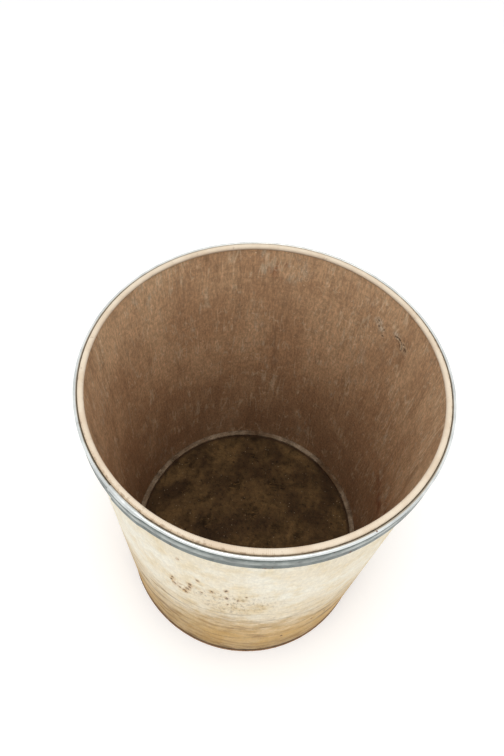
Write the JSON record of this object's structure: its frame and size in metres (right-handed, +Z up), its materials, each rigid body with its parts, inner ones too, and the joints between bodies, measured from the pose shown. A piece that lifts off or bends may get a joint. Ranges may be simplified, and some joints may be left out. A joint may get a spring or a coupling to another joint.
{
  "type": "open-top drum",
  "caption": "Tall open-top round container with a cream fibreboard wall, a recessed bottom and a galvanised steel rim band, worn and water-stained.",
  "frame": {"origin": "centre of the foot, on the surface the drum stands on", "axes": "+Z up along the drum's axis, the band's lap joint at the front left (-X, -Y)"},
  "size_m": [0.594, 0.5934, 0.723],
  "materials": {
    "coated_fibreboard": "cream coating, water-stained and scuffed, ochre dirt towards the foot, brown board inside",
    "galvanised_steel": "dull galvanised sheet with a few rust specks",
    "brown_fibreboard": "bare brown board, dirty"
  },
  "bodies": {
    "root": {"side_wall": "coated_fibreboard", "rim_band": "galvanised_steel", "foot_ring": "brown_fibreboard", "bottom_disc": "brown_fibreboard", "floor_ring": "brown_fibreboard"}
  },
  "joints": []
}
